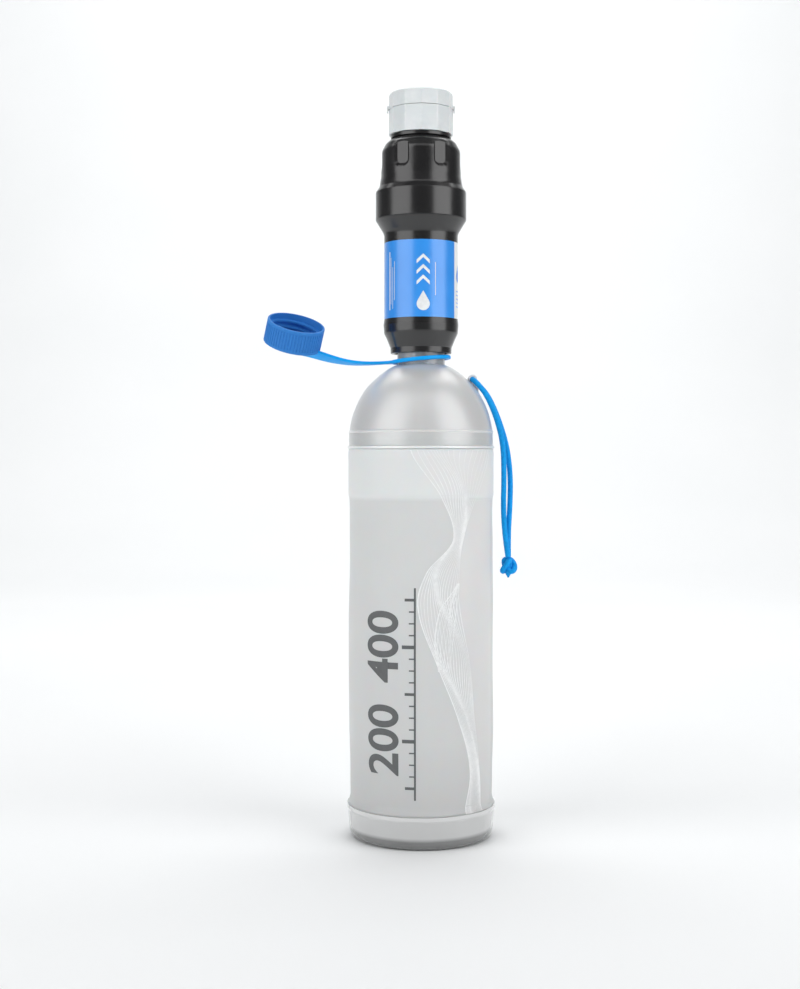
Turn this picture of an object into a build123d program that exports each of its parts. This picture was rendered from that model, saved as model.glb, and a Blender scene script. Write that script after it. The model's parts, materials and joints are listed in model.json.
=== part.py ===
from build123d import *
from math import cos, pi, radians, sin, tan
import os

# Squeeze water filter screwed on a collapsible bottle. Millimetres, +Z up.
# The origin is the centre of the base cup's flat underside, on the bottle's axis.

# ---- Base cup ----
CUP_FOOT_R = 37.2
CUP_CORNER_R = 4.5
CUP_SIDE_R = 38.2
CUP_LIP_R = 38.6
CUP_LIP_BOTTOM_Z = 15.4
CUP_TOP_Z = 17.2
CUP_FLOOR = 1.8
SLEEVE_SEAT_R = 37.0
SLEEVE_SEAT_Z = 12.0

# ---- Soft sleeve and the ring that holds its top end open ----
SLEEVE_WALL = 0.8
SLEEVE_END_R = 36.9
SLEEVE_R = 37.8
SLEEVE_NECKED_R = 37.2
SLEEVE_TUCKED_R = 37.0
SLEEVE_TOP_Z = 207.2
RING_R = 35.6
RING_WALL = 1.2
RING_BOTTOM_Z = 176.5
RING_TOP_Z = 210.0

# ---- Shoulder ----
SKIRT_BOTTOM_Z = 201.9
SKIRT_R = 38.4
SKIRT_LIP = 1.2
BAND_R = 37.7
BAND_BEAD_R = 37.95
BAND_TOP_Z = 210.9
POCKET_R = 37.4
POCKET_TOP_Z = 207.5
DOME_R = 37.8
DOME_HEIGHT = 42.5
DOME_BASE_Z = 205.6
DOME_HOLLOW_HEIGHT = 35.6
DOME_ARC = 75
NECK_R = 12.45
NECK_BORE_R = 10.85
NECK_TOP_Z = 263.0

# ---- Cord eyelet on the shoulder ----
EYELET_X = 26.9
EYELET_Z = 238.2
EYELET_R = 2.5
EYELET_HOLE_R = 1.6
EYELET_THICKNESS = 4.0

# ---- Bottle thread, 28 mm ----
THREAD_PITCH = 3.18
THREAD_TURNS = 1.75
THREAD_START_Z = 253.4
NECK_CREST_R = 13.7
SOCKET_R = 14.05
SOCKET_CREST_R = 12.85
NECK_RIDGE_WIDTHS = (2.2, 0.9)
SOCKET_RIDGE_WIDTHS = (2.0, 0.8)
THREAD_ROOT_OVERLAP = 0.25

# ---- Lower housing of the filter ----
RIM_Z = 251.6
RIM_R = 15.9
BARREL_R = 19.3
LABEL_BOTTOM_Z = 269.5
LABEL_TOP_Z = 309.2
LABEL_THICKNESS = 0.15
FLANGE_Z = 321.4
FLANGE_R = 23.7
SOCKET_CEILING_Z = 264.5
BARREL_FLOOR_Z = 266.5
BARREL_BORE_R = 17.3
SPIGOT_R = 20.6
SPIGOT_TOP_Z = 329.0
INLET_HOLE_R = 2.0
INLET_PITCH_R = 6.2

# ---- Upper housing of the filter ----
UPPER_BORE_R = 20.9
CHAMBER_R = 17.0
COLLAR_SEAT_Z = 331.5
CHAMBER_TOP_Z = 352.0
HOUSING_TOP_Z = 364.2
HOUSING_RING_R = 15.8
HOUSING_RING_TOP_Z = 365.7
GRIP_FOOT = (21.8, 338.8)
GRIP_WAIST = (20.9, 344.0)
GRIP_TOP = (20.8, 357.0)
GRIP_SHOULDER = (18.4, 361.4)
GRIP_BAND_TOP_Z = 335.9
STUB_R = 9.6
STUB_BORE_R = 7.6
STUB_BEAD_R = 10.6
STUB_BEAD_Z = 375.6
STUB_TOP_Z = 379.2
RECESS_COUNT = 6
RECESS_WIDTH = 6.2
RECESS_CORNER_R = 2.0
RECESS_BOTTOM_Z = 348.6
RECESS_FLOOR_R = 19.2
RECESS_DRAFT = 50

# ---- Push-pull nozzle and dust cover ----
NOZZLE_BOTTOM_Z = 366.0
NOZZLE_R = 16.9
NOZZLE_WALL = 1.7
NOZZLE_DECK_Z = 379.3
NOZZLE_BORE_R = 10.9
NOZZLE_LIP_R = 9.9
SPOUT_FOOT_R = 12.4
SPOUT_R = 8.2
SPOUT_TOP_Z = 385.6
SPOUT_HOLE_R = 3.6
STEM_DISC_Z = 369.0
STEM_R = 2.2
STEM_HOLE_R = 1.6
STEM_HOLE_PITCH_R = 4.9
COVER_BOTTOM_Z = 379.6
COVER_TOP_Z = 388.0
COVER_R = 16.8
COVER_WALL = 1.3
COVER_CORNER_R = 2.0
FACET_COUNT = 12
EAR_WIDTH = 3.0
EAR_HEIGHT = 1.6
EAR_REACH = 17.8
EAR_LIP = 0.7
EAR_LIP_BOTTOM_Z = 378.0

# ---- Cartridge ----
COLLAR_FLANGE_R = 20.4
COLLAR_R = 17.1
COLLAR_BORE_R = 15.6
COLLAR_BOTTOM_Z = 314.0
POTTING_BOTTOM_Z = 318.0
CAGE_R = 16.6
CAGE_WALL = 1.0
CAGE_BOTTOM_Z = 268.0
CAGE_WINDOW = (4.4, 9.0)
CAGE_COLUMNS = 10
CAGE_ROWS = 3
FIBRE_R = 1.15
FIBRE_SPACING = 2.9
FIBRE_REACH = 13.6
FIBRE_BEND_Z = 285.0

# ---- Tether ring, strap and cap ----
TETHER_RING_BORE_R = 12.8
TETHER_RING_R = 15.7
TETHER_RING_Z = (247.2, 249.2)
STRAP_THICKNESS = 1.5
STRAP_CORNER_R = 0.6
# Each station is the strap's middle x and z, its roll in degrees and its width.
STRAP_STATIONS = [
    (-16.6, 248.0, 0, 5.6),
    (-22.0, 246.9, 1, 6.0),
    (-30.0, 246.4, 4, 6.6),
    (-38.0, 247.1, 11, 7.4),
    (-46.0, 248.9, 18, 8.2),
    (-54.0, 251.2, 22, 9.0),
    (-62.0, 253.5, 22, 9.4),
]
CAP_R = 15.15
CAP_HEIGHT = 12.5
CAP_FLOOR = 1.6
CAP_RIB_DEPTH = 0.3
CAP_RIB_COUNT = 60
CAP_BAND = 1.6
CAP_BASE = Vector(-67.8, 0, 256.2)
CAP_LEAN = 14.0
CAP_NOD = 22.0
LINER_R = 13.6
LINER_THICKNESS = 1.0
PAD_R = 8.0
PAD_GAP = 0.3
RIVET_R = 3.0
RIVET_HEAD_R = 4.2

# ---- Cord ----
CORD_R = 1.4
KNOT_CENTRE = Vector(45.8, 0, 139.6)
KNOT_RADII = (5.0, 4.6, 6.2)


def spin(*edges):
    """Solid of revolution about +Z of the outline that the edges close, in (radius, height)."""
    return revolve(Plane.XZ * make_face(Curve() + list(edges)), Axis.Z)


def lathe(*corners):
    """Solid of revolution about +Z. Each corner is (radius, height) or (radius, height, fillet)."""
    points = [corner[:2] for corner in corners]
    fillets = [corner[2] if len(corner) == 3 else 0 for corner in corners]
    if any(fillets):
        return spin(FilletPolyline(*points, radius=fillets, close=True))
    return spin(Polyline(*points, close=True))


def tube(outer_r, inner_r, bottom, top):
    """Plain tube about +Z between two heights."""
    return lathe((inner_r, bottom), (outer_r, bottom), (outer_r, top), (inner_r, top))


def disc(radius, bottom, top):
    """Plain cylinder about +Z between two heights."""
    return Pos(0, 0, (bottom + top) / 2) * Cylinder(radius, top - bottom)


def dome(radius, height, base):
    """Elliptical dome about +Z on the height base, with an open middle narrower than the neck's bore."""
    steps = [radians(DOME_ARC * index / 5) for index in range(6)]
    points = [(radius * cos(step), base + height * sin(step)) for step in steps]
    end_direction = (-radius * sin(steps[-1]), height * cos(steps[-1]))
    arc = Spline(*points, tangents=[(0, 1), end_direction])
    middle = arc @ 1
    return spin(arc, Line(middle, (middle.X, base)), Line((middle.X, base), (radius, base)))


def thread_ridge(root_r, crest_r, root_width, crest_width, start):
    """Right-handed helical ridge of trapezoid section, standing outward or inward from its root."""
    path = Helix(THREAD_PITCH, THREAD_TURNS * THREAD_PITCH, root_r, center=(0, 0, start))
    depth = abs(crest_r - root_r)
    outward = (1, 0, 0) if crest_r > root_r else (-1, 0, 0)
    buried_width = root_width + (root_width - crest_width) * THREAD_ROOT_OVERLAP / depth
    section = Plane(origin=path @ 0, x_dir=outward, z_dir=path % 0) * make_face(
        Polyline(
            (-THREAD_ROOT_OVERLAP, -buried_width / 2),
            (depth, -crest_width / 2),
            (depth, crest_width / 2),
            (-THREAD_ROOT_OVERLAP, buried_width / 2),
            close=True,
        )
    )
    return sweep(section, path, is_frenet=True)


def inner_thread(start):
    """Ridge inside a socket or cap, shaped to run between the turns of the neck's ridge."""
    return thread_ridge(SOCKET_R, SOCKET_CREST_R, *SOCKET_RIDGE_WIDTHS, start)


def facets(radius, bottom, top):
    """Prism with one corner every 30 degrees, with softly rounded corners."""
    outline = fillet(RegularPolygon(radius, FACET_COUNT).vertices(), 2.5)
    return Pos(0, 0, bottom) * extrude(outline, top - bottom)


def base_cup():
    return lathe(
        (0, 0),
        (CUP_FOOT_R, 0, CUP_CORNER_R),
        (CUP_SIDE_R, CUP_LIP_BOTTOM_Z - 1),
        (CUP_LIP_R, CUP_LIP_BOTTOM_Z),
        (CUP_LIP_R, CUP_TOP_Z),
        (SLEEVE_SEAT_R, CUP_TOP_Z),
        (SLEEVE_SEAT_R, SLEEVE_SEAT_Z),
        (SLEEVE_SEAT_R - 1.2, SLEEVE_SEAT_Z),
        (SLEEVE_SEAT_R - 1.6, CUP_FLOOR, CUP_CORNER_R - 1),
        (0, CUP_FLOOR),
    )


def bottle_sleeve():
    outside = [
        (SLEEVE_END_R, SLEEVE_SEAT_Z),
        (SLEEVE_END_R, CUP_TOP_Z + 0.3),
        (SLEEVE_R - 0.5, CUP_TOP_Z + 5),
        (SLEEVE_R, CUP_TOP_Z + 40),
        (SLEEVE_R, RING_BOTTOM_Z - 8),
        (SLEEVE_NECKED_R, RING_BOTTOM_Z),
        (SLEEVE_NECKED_R + 0.3, RING_BOTTOM_Z + 13),
        (SLEEVE_NECKED_R, SKIRT_BOTTOM_Z - 1),
        (SLEEVE_TUCKED_R, SKIRT_BOTTOM_Z),
        (SLEEVE_TUCKED_R, SLEEVE_TOP_Z),
    ]
    inside = [(radius - SLEEVE_WALL, height) for radius, height in reversed(outside)]
    return lathe(*outside, *inside)


def sleeve_ring():
    return tube(RING_R, RING_R - RING_WALL, RING_BOTTOM_Z, RING_TOP_Z)


def eyelet_fin():
    """Radial fin on the dome that carries the cord's hole."""
    web = make_face(
        Polyline(
            (EYELET_X - EYELET_R, EYELET_Z),
            (EYELET_X - EYELET_R - 2, EYELET_Z - 6),
            (EYELET_X + EYELET_R + 1, EYELET_Z - 9),
            (EYELET_X + EYELET_R, EYELET_Z),
            close=True,
        )
    )
    outline = web + Pos(EYELET_X, EYELET_Z) * Circle(EYELET_R)
    return extrude(Plane.XZ * outline, EYELET_THICKNESS / 2, both=True)


def bottle_shoulder():
    """Skirt, dome, eyelet and threaded neck, all one moulding."""
    skirt = lathe(
        (0, SKIRT_BOTTOM_Z),
        (SKIRT_R, SKIRT_BOTTOM_Z, 0.3),
        (SKIRT_R, SKIRT_BOTTOM_Z + SKIRT_LIP, 0.3),
        (BAND_R, SKIRT_BOTTOM_Z + SKIRT_LIP + 0.6),
        (BAND_R, BAND_TOP_Z - 0.8),
        (BAND_BEAD_R, BAND_TOP_Z - 0.4),
        (BAND_BEAD_R, BAND_TOP_Z),
        (BAND_R - 0.6, BAND_TOP_Z + 1),
        (0, BAND_TOP_Z + 1),
    )
    neck = disc(NECK_R, BAND_TOP_Z, NECK_TOP_Z)
    solid = skirt + dome(DOME_R, DOME_HEIGHT, DOME_BASE_Z) + neck + eyelet_fin()
    pocket = disc(POCKET_R, SKIRT_BOTTOM_Z, POCKET_TOP_Z)
    seat = disc(RING_R, SKIRT_BOTTOM_Z, RING_TOP_Z)
    hollow = pocket + seat + dome(RING_R, DOME_HOLLOW_HEIGHT, RING_TOP_Z)
    bore = disc(NECK_BORE_R, SKIRT_BOTTOM_Z, NECK_TOP_Z)
    cord_hole = Pos(EYELET_X, 0, EYELET_Z) * Rot(90, 0, 0) * Cylinder(EYELET_HOLE_R, 2 * EYELET_THICKNESS)
    ridge = thread_ridge(NECK_R, NECK_CREST_R, *NECK_RIDGE_WIDTHS, THREAD_START_Z)
    return solid - hollow - bore - cord_hole + ridge


def inlet_gasket():
    return tube(SOCKET_R - 0.4, NECK_BORE_R, NECK_TOP_Z, SOCKET_CEILING_Z)


def lower_housing():
    """Threaded socket below, barrel with a label seat, and a flange and spigot above."""
    seat_r = BARREL_R - LABEL_THICKNESS
    shell = lathe(
        (SOCKET_R, RIM_Z),
        (RIM_R, RIM_Z, 0.3),
        (RIM_R + 0.1, RIM_Z + 3.0),
        (RIM_R + 1.9, RIM_Z + 7.4),
        (BARREL_R, RIM_Z + 10.6, 4),
        (BARREL_R + 0.3, LABEL_BOTTOM_Z - 3),
        (BARREL_R, LABEL_BOTTOM_Z),
        (seat_r, LABEL_BOTTOM_Z),
        (seat_r, LABEL_TOP_Z),
        (BARREL_R, LABEL_TOP_Z),
        (BARREL_R, LABEL_TOP_Z + 5, 6),
        (FLANGE_R, FLANGE_Z),
        (SPIGOT_R, FLANGE_Z),
        (SPIGOT_R, FLANGE_Z + 2.4),
        (SPIGOT_R - 1.7, FLANGE_Z + 2.4),
        (SPIGOT_R - 1.7, FLANGE_Z + 4.8),
        (SPIGOT_R, FLANGE_Z + 4.8),
        (SPIGOT_R, SPIGOT_TOP_Z),
        (BARREL_BORE_R, SPIGOT_TOP_Z),
        (BARREL_BORE_R, BARREL_FLOOR_Z, 1.5),
        (0, BARREL_FLOOR_Z),
        (0, SOCKET_CEILING_Z),
        (SOCKET_R, SOCKET_CEILING_Z),
    )
    inlet = Pos(0, 0, BARREL_FLOOR_Z) * Cylinder(INLET_HOLE_R, 6)
    inlets = PolarLocations(INLET_PITCH_R, 6) * inlet
    ridge = inner_thread(THREAD_START_Z + THREAD_PITCH / 2)
    return shell - inlet - inlets + ridge


def label_wrap():
    return tube(BARREL_R, BARREL_R - LABEL_THICKNESS, LABEL_BOTTOM_Z, LABEL_TOP_Z)


def o_ring(centre_r, section_r, height):
    return Pos(0, 0, height) * Torus(centre_r, section_r)


def grip_recess():
    """Cutter for one shallow thumb recess, with round lower corners and an open top."""
    height = HOUSING_TOP_Z - RECESS_BOTTOM_Z
    centre = Pos(0, RECESS_BOTTOM_Z + height / 2)
    outline = centre * RectangleRounded(RECESS_WIDTH, height, RECESS_CORNER_R)
    cutter = extrude(Plane.XZ * outline, FLANGE_R - RECESS_FLOOR_R, taper=-RECESS_DRAFT)
    return Pos(0, -RECESS_FLOOR_R, 0) * cutter


def upper_housing():
    """Grip band and grip dome, with the outlet stub that the nozzle slides on."""
    shell = lathe(
        (UPPER_BORE_R, FLANGE_Z),
        (FLANGE_R, FLANGE_Z, 0.5),
        (FLANGE_R, GRIP_BAND_TOP_Z, 0.5),
        (*GRIP_FOOT, 3),
        (*GRIP_WAIST, 8),
        (*GRIP_TOP, 5),
        (*GRIP_SHOULDER, 5),
        (HOUSING_RING_R - 0.8, HOUSING_TOP_Z),
        (HOUSING_RING_R, HOUSING_TOP_Z),
        (HOUSING_RING_R, HOUSING_RING_TOP_Z),
        (STUB_R, HOUSING_RING_TOP_Z),
        (STUB_R, STUB_BEAD_Z),
        (STUB_BEAD_R, STUB_BEAD_Z),
        (STUB_BEAD_R, STUB_BEAD_Z + 0.8),
        (STUB_BEAD_R - 1.4, STUB_BEAD_Z + 0.8),
        (STUB_BEAD_R - 1.4, STUB_TOP_Z - 0.8),
        (STUB_BEAD_R, STUB_TOP_Z - 0.8),
        (STUB_BEAD_R, STUB_TOP_Z),
        (STUB_BORE_R, STUB_TOP_Z),
        (STUB_BORE_R, CHAMBER_TOP_Z + 6),
        (CHAMBER_R, CHAMBER_TOP_Z, 4),
        (CHAMBER_R, COLLAR_SEAT_Z),
        (UPPER_BORE_R, COLLAR_SEAT_Z),
    )
    cutters = [Rot(0, 0, 30 + 60 * index) * grip_recess() for index in range(RECESS_COUNT)]
    return shell - cutters


def potting_collar():
    return lathe(
        (COLLAR_BORE_R, COLLAR_BOTTOM_Z),
        (COLLAR_R, COLLAR_BOTTOM_Z),
        (COLLAR_R, SPIGOT_TOP_Z),
        (COLLAR_FLANGE_R, SPIGOT_TOP_Z),
        (COLLAR_FLANGE_R, COLLAR_SEAT_Z),
        (COLLAR_BORE_R, COLLAR_SEAT_Z),
    )


def potting_block():
    return disc(COLLAR_BORE_R, POTTING_BOTTOM_Z, COLLAR_SEAT_Z)


def fibre_cage():
    """Tube with rows of flow windows, closed by a crossed foot."""
    cage = tube(CAGE_R, CAGE_R - CAGE_WALL, CAGE_BOTTOM_Z, COLLAR_BOTTOM_Z)
    width, height = CAGE_WINDOW
    pitch_z = (COLLAR_BOTTOM_Z - CAGE_BOTTOM_Z) / CAGE_ROWS
    windows = []
    for row in range(CAGE_ROWS):
        centre_z = CAGE_BOTTOM_Z + pitch_z * (row + 0.5)
        for column in range(CAGE_COLUMNS):
            turn = Rot(0, 0, 360 * column / CAGE_COLUMNS)
            windows.append(turn * Pos(CAGE_R, 0, centre_z) * Box(4, width, height))
    span = 2 * (CAGE_R - CAGE_WALL / 2)
    bar = Pos(0, 0, CAGE_BOTTOM_Z + 0.75) * Box(span, 2.4, 1.5)
    return cage - windows + bar + Rot(0, 0, 90) * bar


def fibre(half_gap, offset):
    """One U-shaped fibre: two legs down from the potting and a half-round bend."""
    left = (-half_gap, offset, POTTING_BOTTOM_Z)
    right = (half_gap, offset, POTTING_BOTTOM_Z)
    bend_left = (-half_gap, offset, FIBRE_BEND_Z)
    bend_right = (half_gap, offset, FIBRE_BEND_Z)
    lowest = (0, offset, FIBRE_BEND_Z - half_gap)
    path = Curve() + [
        Line(left, bend_left),
        ThreePointArc(bend_left, lowest, bend_right),
        Line(bend_right, right),
    ]
    section = Plane(origin=left, z_dir=(0, 0, -1)) * Circle(FIBRE_R)
    return sweep(section, path.wire())


def fibre_bundle():
    rows = int(FIBRE_REACH / FIBRE_SPACING)
    fibres = []
    for row in range(-rows, rows + 1):
        offset = row * FIBRE_SPACING
        half_gap = FIBRE_SPACING / 2 + FIBRE_R / 2
        while half_gap**2 + offset**2 < FIBRE_REACH**2:
            fibres.append(fibre(half_gap, offset))
            half_gap += FIBRE_SPACING
    return Compound(children=[solid for made in fibres for solid in made.solids()])


def outlet_stem():
    """Plug pin on a spoked disc that is pressed into the outlet stub."""
    top = SPOUT_TOP_Z - 0.2
    holes = PolarLocations(STEM_HOLE_PITCH_R, 6) * disc(STEM_HOLE_R, STEM_DISC_Z - 1, STEM_DISC_Z + 3)
    pin = lathe(
        (0, STEM_DISC_Z),
        (STEM_R, STEM_DISC_Z),
        (STEM_R, top - 3.4),
        (SPOUT_HOLE_R - 0.1, top - 1.6),
        (SPOUT_HOLE_R - 0.1, top, 0.4),
        (0, top),
    )
    return disc(STUB_BORE_R, STEM_DISC_Z, STEM_DISC_Z + 2) - holes + pin


def push_pull_nozzle():
    """Faceted collar, sliding sleeve with a stop lip, and the drinking spout."""
    inner_r = NOZZLE_R - NOZZLE_WALL - 0.2
    core = lathe(
        (NOZZLE_R + 1, NOZZLE_BOTTOM_Z),
        (NOZZLE_R + 1, NOZZLE_DECK_Z),
        (SPOUT_FOOT_R, NOZZLE_DECK_Z),
        (SPOUT_FOOT_R, NOZZLE_DECK_Z + 1.3),
        (SPOUT_R + 0.6, NOZZLE_DECK_Z + 3.5),
        (SPOUT_R, SPOUT_TOP_Z, 0.8),
        (SPOUT_HOLE_R, SPOUT_TOP_Z),
        (SPOUT_HOLE_R, SPOUT_TOP_Z - 1.3),
        (SPOUT_R - 1.2, SPOUT_TOP_Z - 1.3),
        (SPOUT_R - 0.8, NOZZLE_DECK_Z + 3.1),
        (NOZZLE_BORE_R, NOZZLE_DECK_Z + 0.9),
        (NOZZLE_BORE_R, STUB_BEAD_Z - 5.1),
        (NOZZLE_LIP_R, STUB_BEAD_Z - 5.1),
        (NOZZLE_LIP_R, NOZZLE_BOTTOM_Z + 0.6),
        (SPOUT_FOOT_R, NOZZLE_BOTTOM_Z + 0.6),
        (SPOUT_FOOT_R, NOZZLE_DECK_Z - NOZZLE_WALL),
        (inner_r, NOZZLE_DECK_Z - NOZZLE_WALL),
        (inner_r, NOZZLE_BOTTOM_Z),
    )
    return core & facets(NOZZLE_R, NOZZLE_BOTTOM_Z, COVER_TOP_Z)


def outer_box(near, far, width, bottom, top):
    """Box that straddles the X axis, between two distances from the middle and two heights."""
    return Pos((near + far) / 2, 0, (bottom + top) / 2) * Box(far - near, width, top - bottom)


def dust_cover():
    """Faceted cover with a snap ring inside and two lifting ears."""
    inner_r = COVER_R - COVER_WALL - 0.4
    ceiling = COVER_TOP_Z - COVER_WALL
    core = lathe(
        (0, COVER_TOP_Z),
        (0, ceiling),
        (SPOUT_FOOT_R + 0.3, ceiling),
        (SPOUT_FOOT_R + 0.3, COVER_BOTTOM_Z + 0.1),
        (SPOUT_FOOT_R + 1.3, COVER_BOTTOM_Z + 0.1),
        (SPOUT_FOOT_R + 1.3, ceiling),
        (inner_r, ceiling),
        (inner_r, COVER_BOTTOM_Z),
        (COVER_R, COVER_BOTTOM_Z),
        (COVER_R, COVER_TOP_Z, COVER_CORNER_R),
    )
    shell = core & facets(COVER_R, COVER_BOTTOM_Z, COVER_TOP_Z)
    ear = outer_box(inner_r + 0.4, EAR_REACH, EAR_WIDTH, COVER_BOTTOM_Z, COVER_BOTTOM_Z + EAR_HEIGHT)
    lip = outer_box(EAR_REACH - EAR_LIP, EAR_REACH, EAR_WIDTH, EAR_LIP_BOTTOM_Z, COVER_BOTTOM_Z + EAR_HEIGHT)
    return shell + ear + lip + Rot(0, 0, 180) * (ear + lip)


def tether_ring():
    bottom, top = TETHER_RING_Z
    return lathe(
        (TETHER_RING_BORE_R, bottom),
        (TETHER_RING_R, bottom, 0.5),
        (TETHER_RING_R, top, 0.5),
        (TETHER_RING_BORE_R, top),
    )


def cap_plane():
    """Plane of the tether cap's closed end, with its normal pointing out of the mouth."""
    normal = Vector(tan(radians(CAP_LEAN)), -tan(radians(CAP_NOD)), 1).normalized()
    across = Vector(cos(radians(CAP_LEAN)), 0, -sin(radians(CAP_LEAN)))
    return Plane(origin=CAP_BASE, x_dir=across, z_dir=normal)


def strap_section(centre, along, roll, width):
    """Rounded rectangle across the strap, rolled about its run towards -Y."""
    flat = Plane(origin=centre, x_dir=(0, 1, 0), z_dir=along)
    return flat * Rot(0, 0, -roll) * RectangleRounded(width, STRAP_THICKNESS, STRAP_CORNER_R)


def tether_strap():
    """Flat strap that sags between the ring and the pad that is riveted under the cap."""
    sections = []
    for index, (x, z, roll, width) in enumerate(STRAP_STATIONS):
        before = STRAP_STATIONS[max(index - 1, 0)]
        after = STRAP_STATIONS[min(index + 1, len(STRAP_STATIONS) - 1)]
        along = Vector(after[0] - before[0], 0, after[1] - before[1]).normalized()
        sections.append(strap_section((x, 0, z), along, roll, width))
    strap = loft(sections)
    plane = cap_plane()
    pad = plane * disc(PAD_R, -PAD_GAP - STRAP_THICKNESS, -PAD_GAP)
    hole = plane * disc(RIVET_R + 0.1, -4, 4)
    return strap + pad - hole


def cap_ribs():
    """Ring of fine grip ribs, as one toothed prism."""
    teeth = []
    for index in range(CAP_RIB_COUNT):
        for step, radius in ((0, CAP_R), (0.5, CAP_R), (0.6, CAP_R - CAP_RIB_DEPTH), (0.9, CAP_R - CAP_RIB_DEPTH)):
            angle = 2 * pi * (index + step) / CAP_RIB_COUNT
            teeth.append((radius * cos(angle), radius * sin(angle)))
    outline = make_face(Polyline(*teeth, close=True))
    return Pos(0, 0, CAP_BAND) * extrude(outline, CAP_HEIGHT - 2 * CAP_BAND)


def tether_cap():
    """Screw cap, mouth up, with a rivet that holds it to the strap's pad."""
    bands = lathe(
        (0, 0),
        (CAP_R, 0, 0.6),
        (CAP_R, CAP_BAND),
        (CAP_R - CAP_RIB_DEPTH - 0.2, CAP_BAND),
        (CAP_R - CAP_RIB_DEPTH - 0.2, CAP_HEIGHT - CAP_BAND),
        (CAP_R, CAP_HEIGHT - CAP_BAND),
        (CAP_R, CAP_HEIGHT, 0.4),
        (0, CAP_HEIGHT),
    )
    hollow = disc(SOCKET_R, CAP_FLOOR, CAP_HEIGHT)
    ridge = inner_thread(CAP_FLOOR + LINER_THICKNESS + 1.6)
    rivet_depth = PAD_GAP + STRAP_THICKNESS + PAD_GAP
    rivet = lathe(
        (0, 0.5),
        (RIVET_R, 0.5),
        (RIVET_R, -rivet_depth),
        (RIVET_HEAD_R, -rivet_depth),
        (RIVET_HEAD_R, -rivet_depth - 0.6),
        (RIVET_R, -rivet_depth - 1.2),
        (0, -rivet_depth - 1.2),
    )
    return cap_plane() * (bands + cap_ribs() - hollow + ridge + rivet)


def cap_liner():
    return cap_plane() * disc(LINER_R, CAP_FLOOR, CAP_FLOOR + LINER_THICKNESS)


# Each leg of the lanyard loop runs from the middle of the eyelet's hole to the knot.
FRONT_LEG = [
    (26.9, 0.0, 238.2),
    (26.9, -3.6, 238.2),
    (29.9, -5.4, 235.4),
    (34.6, -5.0, 229.4),
    (39.6, -4.2, 217.6),
    (43.0, -3.4, 204.2),
    (43.4, -2.8, 187.0),
    (43.0, -2.4, 170.0),
    (44.0, -2.0, 155.6),
    (45.6, -1.6, 145.0),
]
BACK_LEG = [
    (26.9, 0.0, 238.2),
    (26.9, 3.6, 238.2),
    (30.4, 5.2, 235.8),
    (35.8, 4.6, 229.6),
    (41.2, 3.6, 217.0),
    (45.4, 2.8, 203.0),
    (47.2, 2.4, 187.4),
    (46.8, 2.0, 171.0),
    (45.8, 1.8, 156.0),
    (46.0, 1.6, 145.2),
]


def corner_radii(route):
    """Largest arc that each corner's two runs allow."""
    points = [Vector(*point) for point in route]
    radii = []
    for before, corner, after in zip(points, points[1:], points[2:]):
        run_in = corner - before
        run_out = after - corner
        turn = radians(run_in.get_angle(run_out))
        radii.append(0.45 * min(run_in.length, run_out.length) / tan(turn / 2))
    return radii


def cord_leg(name, route):
    """Round cord along straight runs joined by tangent arcs."""
    radii = corner_radii(route)
    path = FilletPolyline(*route, radius=radii)
    section = Plane(origin=path @ 0, z_dir=path % 0) * Circle(CORD_R)
    leg = sweep(section, path)
    print(name, "length", round(path.length, 2), "radii", [round(radius, 1) for radius in radii])
    print(name, "volume over section times length", round(leg.volume / (pi * CORD_R**2 * path.length), 4))
    return leg


def cord_knot():
    """Outer shape of the overhand knot that joins the two legs."""
    x_radius, y_radius, z_radius = KNOT_RADII
    ball = scale(Sphere(1), by=(x_radius, y_radius, z_radius))
    return Pos(*KNOT_CENTRE) * ball


PARTS = {
    "base_cup": base_cup,
    "bottle_sleeve": bottle_sleeve,
    "sleeve_ring": sleeve_ring,
    "bottle_shoulder": bottle_shoulder,
    "inlet_gasket": inlet_gasket,
    "lower_housing": lower_housing,
    "label_wrap": label_wrap,
    "housing_oring": lambda: o_ring(SPIGOT_R - 0.7, 1.0, FLANGE_Z + 3.6),
    "upper_housing": upper_housing,
    "potting_collar": potting_collar,
    "potting_block": potting_block,
    "fibre_cage": fibre_cage,
    "fibre_bundle": fibre_bundle,
    "outlet_stem": outlet_stem,
    "nozzle_oring": lambda: o_ring(STUB_BEAD_R - 0.55, 0.8, (STUB_BEAD_Z + STUB_TOP_Z) / 2),
    "push_pull_nozzle": push_pull_nozzle,
    "dust_cover": dust_cover,
    "tether_ring": tether_ring,
    "tether_strap": tether_strap,
    "tether_cap": tether_cap,
    "cap_liner": cap_liner,
    "cord_leg_front": lambda: cord_leg("cord_leg_front", FRONT_LEG),
    "cord_leg_back": lambda: cord_leg("cord_leg_back", BACK_LEG),
    "cord_knot": cord_knot,
}

os.makedirs("parts", exist_ok=True)
for node, make in PARTS.items():
    export_step(make(), f"parts/{node}.step")
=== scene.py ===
import json
from math import atan2, cos, pi, radians, sin

import bmesh
import bpy
from mathutils import Matrix, Vector, noise


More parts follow.
